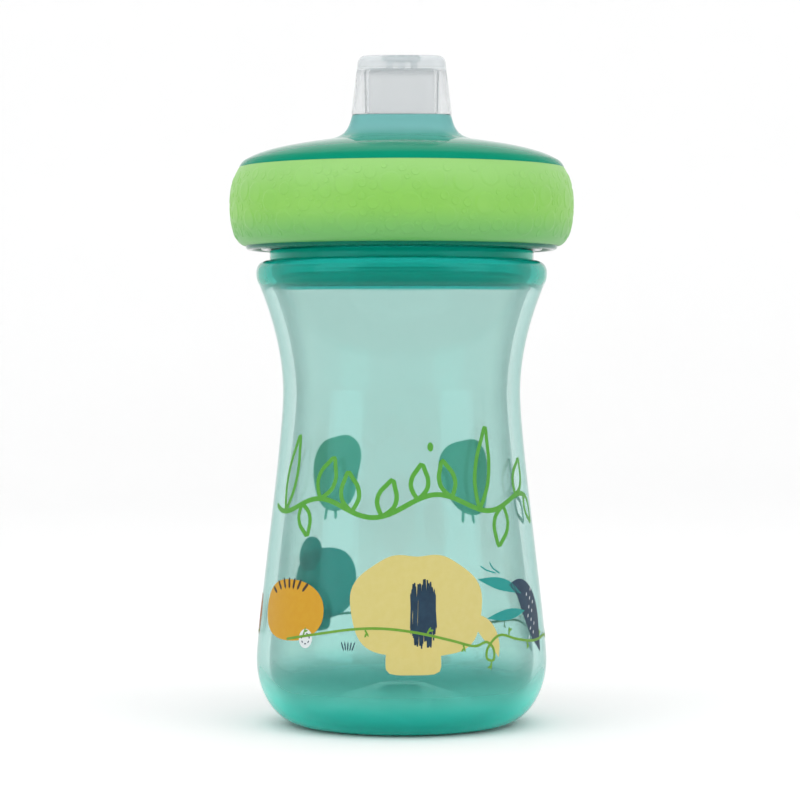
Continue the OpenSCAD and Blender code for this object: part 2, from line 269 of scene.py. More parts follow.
def ridge(name, start, radius, height, z, turn, sink=0.5):
    """One ridge of the screw thread, which fades in and out at its ends."""
    root, crest = 0.95, 0.45      # half height of the ridge at its foot and at its top
    side = math.copysign(1, height)
    section = [(radius - side * sink, -root), (radius, -root), (radius + height, -crest),
               (radius + height, crest), (radius, root), (radius - side * sink, root)]
    bm = bmesh.new()
    face = bm.faces.new([bm.verts.new((r, 0, z + up)) for r, up in section])
    steps = round(turn * SIDES)
    bmesh.ops.spin(bm, geom=[face] + list(face.edges) + list(face.verts), cent=(0, 0, 0), axis=(0, 0, 1),
                   angle=turn * math.tau, dvec=(0, 0, lead * turn / steps), steps=steps)
    fade = math.radians(12)
    for vert in bm.verts:
        angle = math.atan2(vert.co.y, vert.co.x) % math.tau
        angle = 0 if angle > math.tau - 0.001 else angle
        share = min(1, angle / fade, max(0, turn * math.tau - angle) / fade)
        reach = vert.co.xy.length
        if side * (reach - radius) > 0:
            vert.co.xy *= (radius - side * 0.05 + (reach - radius) * share) / reach
    bmesh.ops.rotate(bm, matrix=Matrix.Rotation(start * math.tau / starts, 3, "Z"), verts=bm.verts)
    bmesh.ops.recalc_face_normals(bm, faces=bm.faces)
    return mesh_piece(name, bm)


# ---------------------------------------------------------------- shader maths

def pick(sockets, name):
    """The socket at a position, or the one of that name that is in use."""
    if isinstance(name, int):
        return sockets[name]
    return next(s for s in sockets if s.name == name and s.enabled)


class Value:
    """A number or colour that a node gives. Arithmetic on numbers adds Math nodes."""

    def __init__(self, shader, socket):
        self.shader = shader
        self.socket = socket

    def _math(self, operation, first, second):
        return self.shader.node("Math", {"operation": operation}, {0: first, 1: second})

    def __add__(self, other):
        return self._math("ADD", self, other)

    __radd__ = __add__

    def __sub__(self, other):
        return self._math("SUBTRACT", self, other)

    def __rsub__(self, other):
        return self._math("SUBTRACT", other, self)

    def __mul__(self, other):
        return self._math("MULTIPLY", self, other)

    __rmul__ = __mul__


class Shader:
    """A material's node tree, built from the outputs of its nodes."""

    def __init__(self, name):
        self.material = bpy.data.materials.new(name)
        self.material.use_nodes = True
        self.tree = self.material.node_tree
        self.tree.nodes.clear()

    def node(self, kind, settings=None, inputs=None, output=None):
        """Adds a node: its settings first, then the values or links of its sockets."""
        node = self.tree.nodes.new("ShaderNode" + kind)
        for name, value in (settings or {}).items():
            setattr(node, name, value)
        for name, value in (inputs or {}).items():
            socket = pick(node.inputs, name)
            if isinstance(value, Value):
                self.tree.links.new(value.socket, socket)
            else:
                socket.default_value = value
        wanted = output if output is not None else next(s.name for s in node.outputs if s.enabled)
        return Value(self, pick(node.outputs, wanted))

    def place(self, scale=(1, 1, 1)):
        """The point on the piece in millimetres, stretched by scale."""
        point = self.node("TexCoord", output="Object")
        return self.node("Mapping", {}, {"Vector": point, "Scale": [s / MM for s in scale]})

    def axis(self, name):
        """One coordinate of the point on the piece, in millimetres."""
        return self.node("SeparateXYZ", {}, {"Vector": self.place()}, name)

    def noise(self, size, detail, scale=(1, 1, 1)):
        """Soft mottling from 0 to 1 whose blotches are size millimetres across."""
        return self.node("TexNoise", {}, {"Vector": self.place(scale), "Scale": 1 / size, "Detail": detail,
                                          "Roughness": 0.55}, "Fac")

    def step(self, value, low, high, bottom=0.0, top=1.0):
        """Smooth rise from bottom to top while value goes from low to high."""
        return self.node("MapRange", {"interpolation_type": "SMOOTHSTEP"},
                         {"Value": value, "From Min": low, "From Max": high,
                          "To Min": bottom, "To Max": top})

    def mix(self, share, first, second):
        """Colour from first to second by share."""
        return self.node("Mix", {"data_type": "RGBA"}, {"Factor": share, "A": first, "B": second}, "Result")

    def bump(self, height, depth):
        """Normal of a surface that a height from 0 to 1 lifts by depth millimetres."""
        return self.node("Bump", {}, {"Height": height, "Distance": depth * MM, "Strength": 1.0})

    def principled(self, **inputs):
        """One Principled shader."""
        named = {name.replace("_", " "): value for name, value in inputs.items()}
        return self.node("BsdfPrincipled", {}, named, "BSDF")

    def blend(self, share, first, second):
        """Shader from first to second by share."""
        return self.node("MixShader", {}, {0: share, 1: first, 2: second})

    def finished(self, shader):
        """Ends the material with this shader on its surface."""
        output = self.tree.nodes.new("ShaderNodeOutputMaterial")
        self.tree.links.new(shader.socket, output.inputs["Surface"])
        return self.material

    def surface(self, **inputs):
        """Ends the material with one Principled shader."""
        return self.finished(self.principled(**inputs))

    def hazy(self, share, milk, clear, milk_gloss=0.2, **inputs):
        """Ends a clear plastic's material, which tints what is behind it; share of it shows milk instead."""
        see_through = self.principled(Base_Color=clear, Transmission_Weight=1.0, **inputs)
        body = self.principled(Base_Color=milk, **{**inputs, "Specular_IOR_Level": milk_gloss})
        return self.finished(self.blend(share, see_through, body))


def linear(red, green, blue):
    """A display colour from 0 to 255 as the renderer's linear colour."""
    def channel(value):
        value = max(value, 1) / 255
        return value / 12.92 if value <= 0.04045 else ((value + 0.055) / 1.055) ** 2.4
    return (channel(red), channel(green), channel(blue), 1)


def tint(red, green, blue, walls=2):
    """Tint of a clear wall that shows this display colour when seen through that many walls."""
    return (*(c ** (1 / walls) for c in linear(red, green, blue)[:3]), 1)


# ---------------------------------------------------------------- materials

sheen_tint = (0.25, 0.9, 0.9, 1)    # colour of the straight-on gloss of the tinted plastic


def clear_cup_plastic():
    """Blown tinted plastic: pale where it is stretched thin, deep at the neck and the base; the milk added
    over the base and over the neck above the bead is painted light that lifts the shade there.
    """
    s = Shader("clear_cup_plastic")
    height = s.axis("Z")
    is_base = s.step(height, 17, 6)
    is_foot = s.step(height, 13, 3)
    is_neck = s.step(height, bead_low - 0.8, bead_low + 0.6)
    is_band_painted_light = s.step(height, bead_top - 0.5, bead_top + 0.2)
    pale = s.mix(s.noise(18, 2), tint(181, 219, 212), tint(172, 214, 206))
    pale = s.mix(s.step(height, 42, 14, 0, 0.4), pale, tint(140, 206, 194))
    clear = s.mix(is_neck, s.mix(is_base, pale, tint(96, 212, 198)), tint(6, 204, 188))
    edge_on = s.node("LayerWeight", {}, {"Blend": 0.5}, "Facing")
    thin_milk = s.mix(s.noise(26, 2), linear(108, 186, 176), linear(98, 181, 170))
    thin_milk = s.mix(s.step(edge_on, 0.6, 1), thin_milk, linear(56, 150, 138))
    # Painted light: the milk over the base, pale above the foot and deep at the foot, brightens the base that
    # the shaded floor under the cup leaves dark.
    base_milk_and_painted_light = s.mix(is_foot, linear(122, 230, 213), linear(10, 192, 175))
    # Painted light: above the bead the milk is lighter, lifting the shade that the ring casts on the neckband.
    neck_milk_and_painted_light = s.mix(is_band_painted_light, linear(0, 158, 136), linear(0, 196, 168))
    milk = s.mix(is_neck, s.mix(is_base, thin_milk, base_milk_and_painted_light), neck_milk_and_painted_light)
    # The share added on the base and on the band above the bead is painted light.
    share = s.step(edge_on, 0.4, 0.95, 0.04, 0.8) + 0.5 * is_base + 0.26 * is_neck + 0.2 * is_band_painted_light
    handling = s.noise(2.5, 4)
    waviness = s.bump(s.noise(14, 2, (1, 1, 0.35)), 0.05)
    return s.hazy(share, milk, clear, Roughness=0.02 + 0.05 * handling, Normal=waviness, IOR=1.5,
                  Specular_Tint=sheen_tint)


def clear_lid_plastic():
    """Moulded tinted plastic with faint flow marks: deep in the thick roof, paler in the thin neck."""
    s = Shader("clear_lid_plastic")
    height = s.axis("Z")
    is_neck = s.step(height, 143.2, 147.5)
    is_roof = s.step(height, 136.5, 137.5) - 0.45 * is_neck
    flow = s.noise(9, 3, (1, 1, 2.2))
    clear = s.mix(flow, tint(118, 194, 185), tint(108, 187, 177))
    milk = s.mix(is_neck, s.mix(flow, linear(0, 137, 106), linear(0, 131, 100)), linear(128, 193, 191))
    handling = s.noise(2.5, 4)
    waviness = s.bump(s.noise(11, 2), 0.03)
    return s.hazy(0.4 + 0.52 * is_roof, milk, clear, 0.05, Roughness=0.03 + 0.05 * handling, Normal=waviness,
                  IOR=1.5, Specular_Tint=sheen_tint, Specular_IOR_Level=0.3)


def soft_ring_rubber(name, lighter=1.0):
    """Soft green elastomer with a satin skin; its top is lighter, which is painted light, and its lower edge
    is darker, which is painted shade, with a teal cast where the teal plastic shows a little through the thin
    edge. lighter brightens a copy of it, which paints a highlight on the embossed discs.
    """
    s = Shader(name)
    height = s.axis("Z")

    def shade(*colour):
        return linear(*(lighter * c for c in colour))
    mottled = s.mix(s.noise(5, 3), shade(126, 186, 76), shade(118, 180, 69))
    # Painted light: the top of the ring is lighter, as if lit from above.
    upper = s.mix(s.step(height, 128, 136.5), mottled, shade(134, 188, 99))
    # Painted shade: the lower edge is darker, with a teal cast where the teal plastic shows a little through
    # the thin edge.
    colour = s.mix(s.step(height, 127, 119), upper, shade(98, 166, 86))
    grain = s.noise(0.35, 2)
    return s.surface(Base_Color=colour, Roughness=0.36 + 0.1 * s.noise(3, 4), Normal=s.bump(grain, 0.012),
                     Subsurface_Weight=0.2, Subsurface_Radius=(0.9, 1.0, 0.5), Subsurface_Scale=0.002,
                     Specular_IOR_Level=0.5)


def clear_spout_silicone():
    """Clear soft silicone, slightly milky."""
    s = Shader("clear_spout_silicone")
    clear = s.mix(s.noise(6, 3), tint(246, 246, 247), tint(241, 241, 243))
    milk = s.mix(s.noise(4, 2), linear(212, 220, 223), linear(204, 214, 218))
    haze = s.noise(1.2, 4)
    is_tip = s.step(s.axis("Z"), 160.5, 162.5)
    waviness = s.bump(s.noise(4, 2), 0.02)
    return s.hazy(0.16 + 0.22 * is_tip, milk, clear, Roughness=0.14 + 0.1 * haze, Normal=waviness, IOR=1.41)


def milky_silicone(name, colour, low, high):
    """Translucent coloured silicone of the seal and the valves."""
    s = Shader(name)
    mixed = s.mix(s.noise(3, 3), linear(*colour), linear(*(0.95 * c for c in colour)))
    return s.surface(Base_Color=mixed, Roughness=low + (high - low) * s.noise(0.8, 4),
                     Normal=s.bump(s.noise(0.5, 3), 0.01), Subsurface_Weight=0.3,
                     Subsurface_Radius=(1, 1, 1), Subsurface_Scale=0.002)


def holder_plastic():
    """Satin white moulded plastic with a fine spark-eroded texture."""
    s = Shader("holder_plastic")
    colour = s.mix(s.noise(4, 3), linear(240, 242, 244), linear(230, 233, 236))
    return s.surface(Base_Color=colour, Roughness=0.38 + 0.12 * s.noise(0.9, 4),
                     Normal=s.bump(s.noise(0.25, 2), 0.02))


def ink(name, colour, glow=0.25):
    """Screen-printed ink, slightly uneven in its density; glow is the share of it that lets light through."""
    s = Shader(name)
    mottle = s.step(s.noise(1.6, 5), 0.3, 0.75)
    mixed = s.mix(mottle * 0.6, linear(*colour), linear(*(c + (255 - c) * 0.08 for c in colour)))
    grain = s.bump(s.noise(0.22, 2), 0.006)
    solid = s.principled(Base_Color=mixed, Roughness=0.35 + 0.2 * s.noise(0.5, 3), Normal=grain)
    return s.finished(s.blend(glow, solid, s.node("BsdfTranslucent", {}, {"Color": mixed})))


def give(piece, materials):
    """Gives a piece these materials, one for each of its slots."""
    piece.data.materials.clear()
    for material in materials:
        piece.data.materials.append(material)


def finish(piece, materials, body, slot, *nodes):
    """Gives a new piece its materials and body, and hides the CAD nodes that it stands for; slot is not used.
    """
    give(piece, materials)
    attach(piece, body)
    if nodes:
        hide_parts(*nodes)


# ---------------------------------------------------------------- cup

def hourglass(inset, low_r, low_z):
    """Side of the cup from the standing ring to the bead, drawn in by inset."""
    wide = base_r - inset
    waist = waist_r - inset
    top = bead_r - bead_inset - inset
    lean = 0.55
    third = (bead_low - waist_z) / 3
    return (
        curve((low_r, low_z), (low_r + lean * (wide - low_r), low_z),
              (wide, base_round_h - lean * (base_round_h - low_z)), (wide, base_round_h), 24)
        + curve((wide, base_round_h), (wide, base_round_h + 8),
                (waist, waist_z - 12), (waist, waist_z), 48)[1:]
        + curve((waist, waist_z), (waist, waist_z + third), (top - (top - waist) * 0.62, bead_low - third),
                (top, bead_low), 24)[1:]
    )


outer_side = hourglass(0, foot_r, 0)


def cup_outline():
    """Round the whole section: base, side, bead, neck, and down the inside to the floor."""
    base = filleted([(0, push_up), (gate_r, push_up, 0.8), (foot_r - foot_w, 0, 1.2), (foot_r - 1, 0)])
    bead_middle = (bead_low + bead_top) / 2
    bead = (
        curve((bead_r - bead_inset, bead_low), (bead_r - 0.3, bead_low + 0.9), (bead_r, bead_low + 1.5),
              (bead_r, bead_middle), 8)[1:]
        + curve((bead_r, bead_middle), (bead_r, bead_top - 0.8),
                (bead_r - 1.5, bead_top), (neck_r + 0.5, bead_top), 12)[1:]
    )
    neck = filleted([bead[-1], (neck_r, bead_top, 0.5), (neck_r, band_top, 0.3),
                     (root_r, band_top + 0.6, 0.4), (root_r, rim_z, 0.9), (bore_r, rim_z, 0.9),
                     (bore_r, band_top)])[1:]
    inner_r = bead_r - 3.8
    inside = curve((bore_r, band_top), (bore_r, bead_top),
                   (inner_r, bead_top), (inner_r, bead_middle), 12)[1:]
    body = hourglass(wall, foot_r, wall)[::-1]
    floor = [(gate_r + 1, push_up + wall), (0, push_up + wall)]
    return base + outer_side + bead + neck + inside + body + floor


cup = spun("clear_cup", cup_outline(), closed=False)
for k in range(starts):
    combine(cup, "UNION", ridge("thread", k, root_r, ridge_h, cup_ridge_z, cup_ridge_turn))
finish(cup, [clear_cup_plastic()], "cup", "cup_plastic", "cup_body")


# ---------------------------------------------------------------- lid

def round_sections(outline):
    """Sections of a round stretch from its (r, z) points."""
    return [(r, r, 2, z) for r, z in outline]


def lid_sections():
    """From the lip round the spout, over the roof, down and up both skirts and the collar, to the seat."""
    lip = [(hole_half[0], hole_half[1], squareness, spout_z - 0.3),
           (hole_half[0] + 0.3, hole_half[1] + 0.3, squareness, spout_z),
           (neck_half[0] - 0.3, neck_half[1] - 0.3, squareness, spout_z)]
    roof_foot = (roof_foot_r, roof_foot_z)
    steps = 20
    widths = curve((neck_half[0], spout_z - 0.3), (13.3, 146.2), (14.6, 144.9), roof_foot, steps)
    depths = curve((neck_half[1], spout_z - 0.3), (9.6, 146.2), (12.6, 144.7), roof_foot, steps)
    flare = [(w[0], d[0], squareness + (2 - squareness) * (i / steps) ** 1.5, w[1])
             for i, (w, d) in enumerate(zip(widths, depths))]
    roof = curve(roof_foot, (28, 143), (35, 141.8), (roof_edge_r - 1.0, roof_edge_z + 1.6), 24)
    edge = curve(roof[-1], (roof_edge_r - 0.3, roof_edge_z + 0.9), (roof_edge_r, roof_edge_z + 0.3),
                 (roof_edge_r, roof_edge_z), 6)
    shells = filleted([edge[-1], (shell_out, roof_edge_z - 1.2, 0.3), (shell_out, lid_z, 0.9),
                       (shell_in, lid_z, 0.7), (shell_in, roof_edge_z + 0.2, 0.8),
                       (skirt_out, roof_edge_z + 0.6, 0.8), (skirt_out, lid_z, 0.5), (skirt_in, lid_z, 0.6),
                       (skirt_in, seal_top, 0.3), (bore_r - 0.6, seal_top, 0.5), (collar_out, under_z, 0.8),
                       (collar_out, collar_z, 0.5), (collar_in, collar_z, 0.5), (collar_in, under_z)])
    seat = [(hole_half[0] + 0.2, hole_half[1] + 0.2, squareness, under_z),
            (hole_half[0], hole_half[1], squareness, under_z + 0.2)]
    return lip + flare + round_sections(roof[1:] + edge[1:] + shells[1:]) + seat


lid = lofted("clear_lid", lid_sections(), closed=True)
hole_low, hole_high = vent_pad_z - 1, vent_floor_z + 1
combine(lid, "UNION", rod("boss", vent_boss_r, vent_pad_z, vent_floor_z + 0.6, y=vent_y))
combine(lid, "DIFFERENCE", rod("recess", vent_recess_r, vent_floor_z, vent_floor_z + 8, y=vent_y))
combine(lid, "DIFFERENCE", rod("stem_hole", stem_hole_r, hole_low, hole_high, y=vent_y, segments=32))
for side in (-1, 1):
    combine(lid, "DIFFERENCE",
            rod("air_hole", air_hole_r, hole_low, hole_high, side * air_hole_x, vent_y, 16))
for k in range(starts):
    combine(lid, "UNION", ridge("thread", k, skirt_in, root_r + 0.4 - skirt_in, lid_ridge_z, lid_ridge_turn))
finish(lid, [clear_lid_plastic()], "lid", "lid_plastic", "lid_shell")


# ---------------------------------------------------------------- grip ring

bond = 0.03                       # how deep a bonded skin lies in the wall it is moulded or printed on
ring_wide_z = 128.6
ring_side = (
    curve((shell_out - bond, ring_low.z), (shell_out + 2.2, ring_low.z + 0.2),
          (ring_high.x, ring_low.z + 3.4), (ring_high.x, ring_wide_z), 24)
    + curve((ring_high.x, ring_wide_z), (ring_high.x, ring_wide_z + 4),
            (roof_edge_r + 1.4, roof_edge_z - 2.2), (roof_edge_r, roof_edge_z), 24)[1:]
)
ring_lengths = list(np.cumsum([0] + [math.dist(*pair) for pair in zip(ring_side, ring_side[1:])]))
bubble_sizes = ((2.75, 58), (1.7, 70), (1.15, 90), (0.8, 100))      # radius and count
bubble_profile = ((0, 0.04), (0.6, 0.045), (0.8, 0.1), (0.92, 0.07), (1, -0.04))  # share of radius, lift
rim_from = 0.72                   # share of a disc's radius at which its rim's material, the lightest painted highlight, starts

# The discs' materials are lighter copies of the ring's: a painted highlight that makes the embossed discs
# show.
rubbers = [soft_ring_rubber("soft_ring_rubber"), soft_ring_rubber("disc_painted_highlight_rubber", 1.04),
           soft_ring_rubber("disc_rim_painted_highlight_rubber", 1.17)]


def ring_skin(along):
    """Point (r, z) of the ring's side at a length along it from its lower edge."""
    return Vector((float(np.interp(along, ring_lengths, [p[0] for p in ring_side])),
                   float(np.interp(along, ring_lengths, [p[1] for p in ring_side]))))


def on_ring(along, angle, lift):
    """Point on the ring, lift above its skin."""
    tangent = (ring_skin(along + 0.4) - ring_skin(along - 0.4)).normalized()
    r, z = ring_skin(along) + lift * Vector((tangent.y, -tangent.x))
    return Vector((r * math.cos(angle), r * math.sin(angle), z))


def bubble_places():
    """Seeded places of the embossed discs, none touching another: (along, way round, radius)."""
    random.seed(7)
    girth = math.tau * ring_high.x
    placed = []
    for radius, count in bubble_sizes:
        for _ in range(60 * count):
            along = random.uniform(radius + 2.4, ring_lengths[-1] - radius - 1.2)
            way = random.uniform(0, girth)
            if all(math.hypot(along - a, (way - w + girth / 2) % girth - girth / 2) > radius + r + 0.12
                   for a, w, r in placed):
                placed.append((along, way, radius))
                count -= 1
            if count == 0:
                break
    return placed


def bubble(radius):
    """A flat-laid disc with a soft rim, in millimetres; its middle and its rim have their own lighter
    materials, which paint a highlight on the relief.
    """
    outline = [(radius * r, lift) for r, lift in bubble_profile] + [(0, bubble_profile[-1][1])]
    disc = spun("bubble", outline, steps=28 if radius > 2 else 12, closed=False, scale=1)
    give(disc, rubbers)
    for face in disc.data.polygons:
        reach = face.center.xy.length / radius
        face.material_index = 1 if reach < rim_from else 2
    return disc


def grip_ring():
    """The ring's body, with its embossed discs joined on."""
    ring = spun("soft_grip_ring", ring_side + [(shell_out - bond, roof_edge_z - 1.2 - bond)], steps=288)
    give(ring, rubbers)
    bm = bmesh.new()
    discs = {radius: bubble(radius) for radius, _ in bubble_sizes}
    for along, way, radius in bubble_places():
        older = len(bm.verts)
        bm.from_mesh(discs[radius].data)
        bm.verts.ensure_lookup_table()
        for vert in bm.verts[older:]:
            x, y, lift = vert.co
            vert.co = on_ring(along + y, (way + x) / ring_high.x, lift)
    for disc in discs.values():
        bpy.data.objects.remove(disc)
    raised = mesh_piece("discs", bm)
    give(raised, rubbers)
    combine(ring, "UNION", raised)
    return ring


finish(grip_ring(), rubbers, "lid", "grip_rubber", "grip_ring")


# ---------------------------------------------------------------- spout

def tapered(section_a, section_b, steps):
    """Sections in even steps from one to another, without the first."""
    return [tuple(a + (b - a) * i / steps for a, b in zip(section_a, section_b)) for i in range(1, steps + 1)]


def inset(half, by, power, z):
    """Section of an oblong drawn in by some millimetres."""
    return (half[0] - by, half[1] - by, power, z)


def spout_sections():
    """From the floor of the oval hollow, out over the tip, down the outside, and back up the passage."""
    q = squareness
    floor_z = spout_top - hollow_depth
    hollow = [inset(hollow_half, 0.8, 2.4, floor_z), inset(hollow_half, 0.2, 2.6, floor_z + 0.2),
              inset(hollow_half, 0, 2.6, floor_z + 0.6), inset(hollow_half, 0, 2.6, spout_top - 0.4),
              inset(hollow_half, -0.2, 2.8, spout_top - 0.1), inset(hollow_half, -0.6, 3, spout_top)]
    rounding = curve((1.7, spout_top), (0.7, spout_top), (0.05, spout_top - 0.8), (0, spout_top - 1.9), 10)
    tip = [inset(tip_half, by, q, z) for by, z in rounding]
    side = tapered(tip[-1], (*neck_half, q, spout_z + 0.5), 24)
    base = [inset(neck_half, 0.12, q, spout_z + 0.14), inset(neck_half, 0.45, q, spout_z + 0.02),
            inset(sleeve_half, -0.3, q, spout_z + 0.02), inset(sleeve_half, 0, q, spout_z - 0.3),
            inset(sleeve_half, 0, q, under_z + 0.1), inset(sleeve_half, -0.15, q, under_z - 0.02)]
    foot = round_sections(filleted([(spout_foot_r - 0.6, under_z - 0.02), (spout_foot_r, under_z - 0.02, 0.3),
                                    (spout_foot_r, spout_foot_z, 0.3), (spout_foot_r - 0.6, spout_foot_z)]))
    ceiling_z = floor_z - tip_skin
    passage = [inset(passage_half, -0.3, q, spout_foot_z), inset(passage_half, 0, q, spout_foot_z + 0.3),
               inset(passage_half, 0, q, ceiling_z - 0.8), inset(passage_half, 0.25, q, ceiling_z - 0.2),
               inset(passage_half, 0.8, q, ceiling_z)]
    return hollow + tip + side + base + foot + passage


spout = lofted("soft_spout", spout_sections())
for k in (-1, 0, 1):
    combine(spout, "DIFFERENCE", rod("drinking_hole", drinking_hole_r, spout_top - 5, spout_top - 1,
                                     drinking_hole_gap * k, segments=32))
finish(spout, [clear_spout_silicone()], "lid", "spout_silicone", "spout")


# ---------------------------------------------------------------- prints

ink_lift = 0.03                   # how far ink stands out of the cup's side
over_lift = 0.012                 # how much further an ink printed over another stands out
shape_lift = 0.0008               # how much further each next shape of one print stands out
side_r, side_z = (np.array(axis) for axis in zip(*outer_side))


def blob(reach):
    """A flat filled shape; reach gives the distance of its edge from the middle at an angle."""
    size = max(reach(math.tau * i / 24) for i in range(24))
    rings = max(2, math.ceil(size / 1.4))
    bm = bmesh.new()
    verts = [bm.verts.new((i / rings, 0, 0)) for i in range(rings + 1)]
    edges = [bm.edges.new(pair) for pair in zip(verts, verts[1:])]
    bmesh.ops.spin(bm, geom=verts + edges, cent=(0, 0, 0), axis=(0, 0, 1), angle=math.tau,
                   steps=max(24, math.ceil(size * 5)), use_merge=True)
    bmesh.ops.remove_doubles(bm, verts=bm.verts, dist=0.0001)
    for vert in bm.verts:
        vert.co *= reach(math.atan2(vert.co.y, vert.co.x))
    return bm


def ellipse(width, depth, power=2.0):
    """A filled oval of half width and half depth."""
    return blob(lambda angle: oblong(angle, width, depth, power))


def smooth_path(points, steps=10):
    """A flowing line through points."""
    ends = [Vector(points[0]), *(Vector(p) for p in points), Vector(points[-1])]
    path = [points[0]]
    for a, b, c, d in zip(ends, ends[1:], ends[2:], ends[3:]):
        path += curve(b, b + (c - a) / 6, c - (d - b) / 6, c, steps)[1:]
    return path


def stroke(path, width, steps=10, pointed=False):
    """A flat brush line through points, with round ends, or swelling in the middle like a leaf if pointed."""
    path = smooth_path(path, steps)
    lengths = np.cumsum([0] + [math.dist(*pair) for pair in zip(path, path[1:])])
    across, up = zip(*path)
    length = lengths[-1]

    def at(along):
        return Vector((float(np.interp(along, lengths, across)), float(np.interp(along, lengths, up))))

    bm = bmesh.new()
    bmesh.ops.create_grid(bm, x_segments=max(4, math.ceil(length / 0.6)),
                          y_segments=max(2, round(width)), size=0.5)
    for vert in bm.verts:
        along = (vert.co.x + 0.5) * length
        forward = (at(min(along + 0.05, length)) - at(max(along - 0.05, 0))).normalized()
        if pointed:
            swell = math.sin(math.pi * along / length)
        else:
            swell = math.sqrt(1 - (1 - min(1, 2 * along / width, 2 * (length - along) / width)) ** 2)
        here = at(along) + vert.co.y * width * swell * Vector((-forward.y, forward.x))
        vert.co = (here.x, here.y, 0)
    bmesh.ops.remove_doubles(bm, verts=bm.verts, dist=0.0005)
    return bm


def shifted(bm, across, up):
    """Moves a flat shape."""
    bmesh.ops.translate(bm, vec=(across, up, 0), verts=bm.verts)
    return bm


def printed(name, material, angle, middle_z, shapes, over=0):
    """Lays flat shapes on the cup's side round a point, at an angle from the front and a height.

    over is the number of inks that lie below.
    """
    whole = bmesh.new()
    around = float(np.interp(middle_z, side_z, side_r))
    for layer, bm in enumerate(shapes):
        bmesh.ops.solidify(bm, geom=bm.faces[:], thickness=1.0)
        bmesh.ops.recalc_face_normals(bm, faces=bm.faces)
        for vert in bm.verts:
            across, up, sunk = vert.co
            way = math.radians(angle) + across / around
            reach = float(np.interp(middle_z + up, side_z, side_r))
            reach += ink_lift + over_lift * over + shape_lift * layer if abs(sunk) < 0.01 else -bond
            vert.co = (reach * math.sin(way), -reach * math.cos(way), middle_z + up)
        if bm.calc_volume(signed=True) < 0:
            bmesh.ops.reverse_faces(bm, faces=bm.faces)
        part = bpy.data.meshes.new("part")
        bm.to_mesh(part)
        bm.free()
        whole.from_mesh(part)
        bpy.data.meshes.remove(part)
    piece = mesh_piece(name, whole)
    finish(piece, [material], "cup", "print_ink")


def leaf_outline(length, half, lean):
    """The open line of a pointed leaf that grows from the origin, leaning by degrees from upright."""
    turn = math.radians(lean)
    side = [(half * math.sin(math.pi * t) * (1 - 0.35 * t), length * t)
            for t in (0, 0.15, 0.35, 0.6, 0.82, 1)]
    line = side + [(-x, y) for x, y in side[-2:0:-1]] + [(0, 0.1)]     # ends a little apart from its start
    return [(x * math.cos(turn) + y * math.sin(turn), y * math.cos(turn) - x * math.sin(turn))
            for x, y in line]


def moved(line, across, up):
    """The points of a line, shifted."""
    return [(x + across, y + up) for x, y in line]


def garland():
    """A wavy stem with pointed leaves in outline, some tall and some small, above and below it."""
    def stem(across):
        return 2.2 * math.sin(across / 4.6) + 0.8 * math.sin(across / 11)

    leaves = ((-35, 19, 2.6, 12), (-28, 8, 2.4, 160), (-22, 10.5, 3.1, 20), (-13, 9.5, 2.9, -8),
              (-5.5, 9, 2.8, 16), (3, 8.5, 2.6, 8), (11.5, 9, 2.5, -14), (19, 20, 2.7, 10),
              (27, 10, 3.0, 196), (33, 9.5, 2.8, 24), (38, 8, 2.3, 150))
    strokes = [stroke([(x, stem(x)) for x in np.arange(-41, 41.1, 1.6)], 1.2, 3)]
    for across, length, half, lean in leaves:
        strokes.append(stroke(moved(leaf_outline(length, half, lean), across, stem(across)), 1.1, 4))
    strokes.append(shifted(ellipse(0.75, 1.1), 6.4, 14))
    return strokes


def bush():
    """A broad rounded shrub on a wide trunk, with one leaf that hangs down beside it."""
    def reach(angle):
        return oblong(angle, 16.4, 12.2, 2.4) + 0.35 * math.sin(7 * angle)
    leaf = stroke([(12, -1), (16.6, -4.5), (19.4, -8.6), (20.4, -12)], 4.4, 8, True)
    return [shifted(ellipse(6.4, 3.2, 5), -1.2, -12.2), shifted(blob(reach), 0, 0.6), leaf]


def hatching():
    """A patch of hand-drawn up-and-down lines."""
    random.seed(3)
    lines = []
    for k in range(3):
        line = []
        for i in range(16):
            across = -2.9 + 5.8 * i / 15 + random.uniform(-0.25, 0.25)
            tall = 7.4 * math.sqrt(max(0.2, 1 - (across / 3.3) ** 4))
            line.append((across, (tall if (i + k) % 2 else -tall) + random.uniform(-1.1, 0.7)))
        lines.append(stroke(line, 0.36, 3))
    return lines


def sprig(across, up, lean):
    """A thin forked twig."""
    size = 2.2
    turn = math.radians(lean)
    tip = (across + size * math.sin(turn), up + size * math.cos(turn))
    fork = (across + 0.5 * size * math.sin(turn), up + 0.5 * size * math.cos(turn))
    side = (fork[0] + 0.55 * size * math.sin(turn + 0.9), fork[1] + 0.55 * size * math.cos(turn + 0.9))
    return [stroke([(across, up), tip], 0.45, 4), stroke([fork, side], 0.45, 4)]


vine_w = 0.62


def vine():
    """A thin stem that wanders round the cup, with twigs and one curl."""
    line = [(-32, 1.2), (-22, 3.0), (-12, 4.6), (-4, 4.9), (4, 3.9), (12, 2.0), (18, 0.4), (21.6, 1.2),
            (23.6, -0.6), (23.4, -3.2), (21.4, -2.6), (22.2, 0.2), (26, 2.6), (32, 1.2), (40, 0.2), (50, 0.9)]
    places = ((-26, 2.4, 20), (-9, 4.8, 150), (6, 3.4, 30), (15, 1.2, 165), (22.8, -3.4, 190),
              (29, 2.2, 10), (36, 0.6, 150), (44, 0.4, 15))
    return [stroke(line, vine_w, 5)] + [twig for place in places for twig in sprig(*place)]


def back_vine():
    """The stem's other half, round the back of the cup."""
    def stem(across):
        return 1.6 * math.sin(across / 9)

    line = [(x, stem(x)) for x in np.arange(-62, 62.1, 3)]
    twigs = [twig for x in range(-56, 60, 11) for twig in sprig(x, stem(x), 20 if x % 2 else 160)]
    return [stroke(line, vine_w, 4)] + twigs


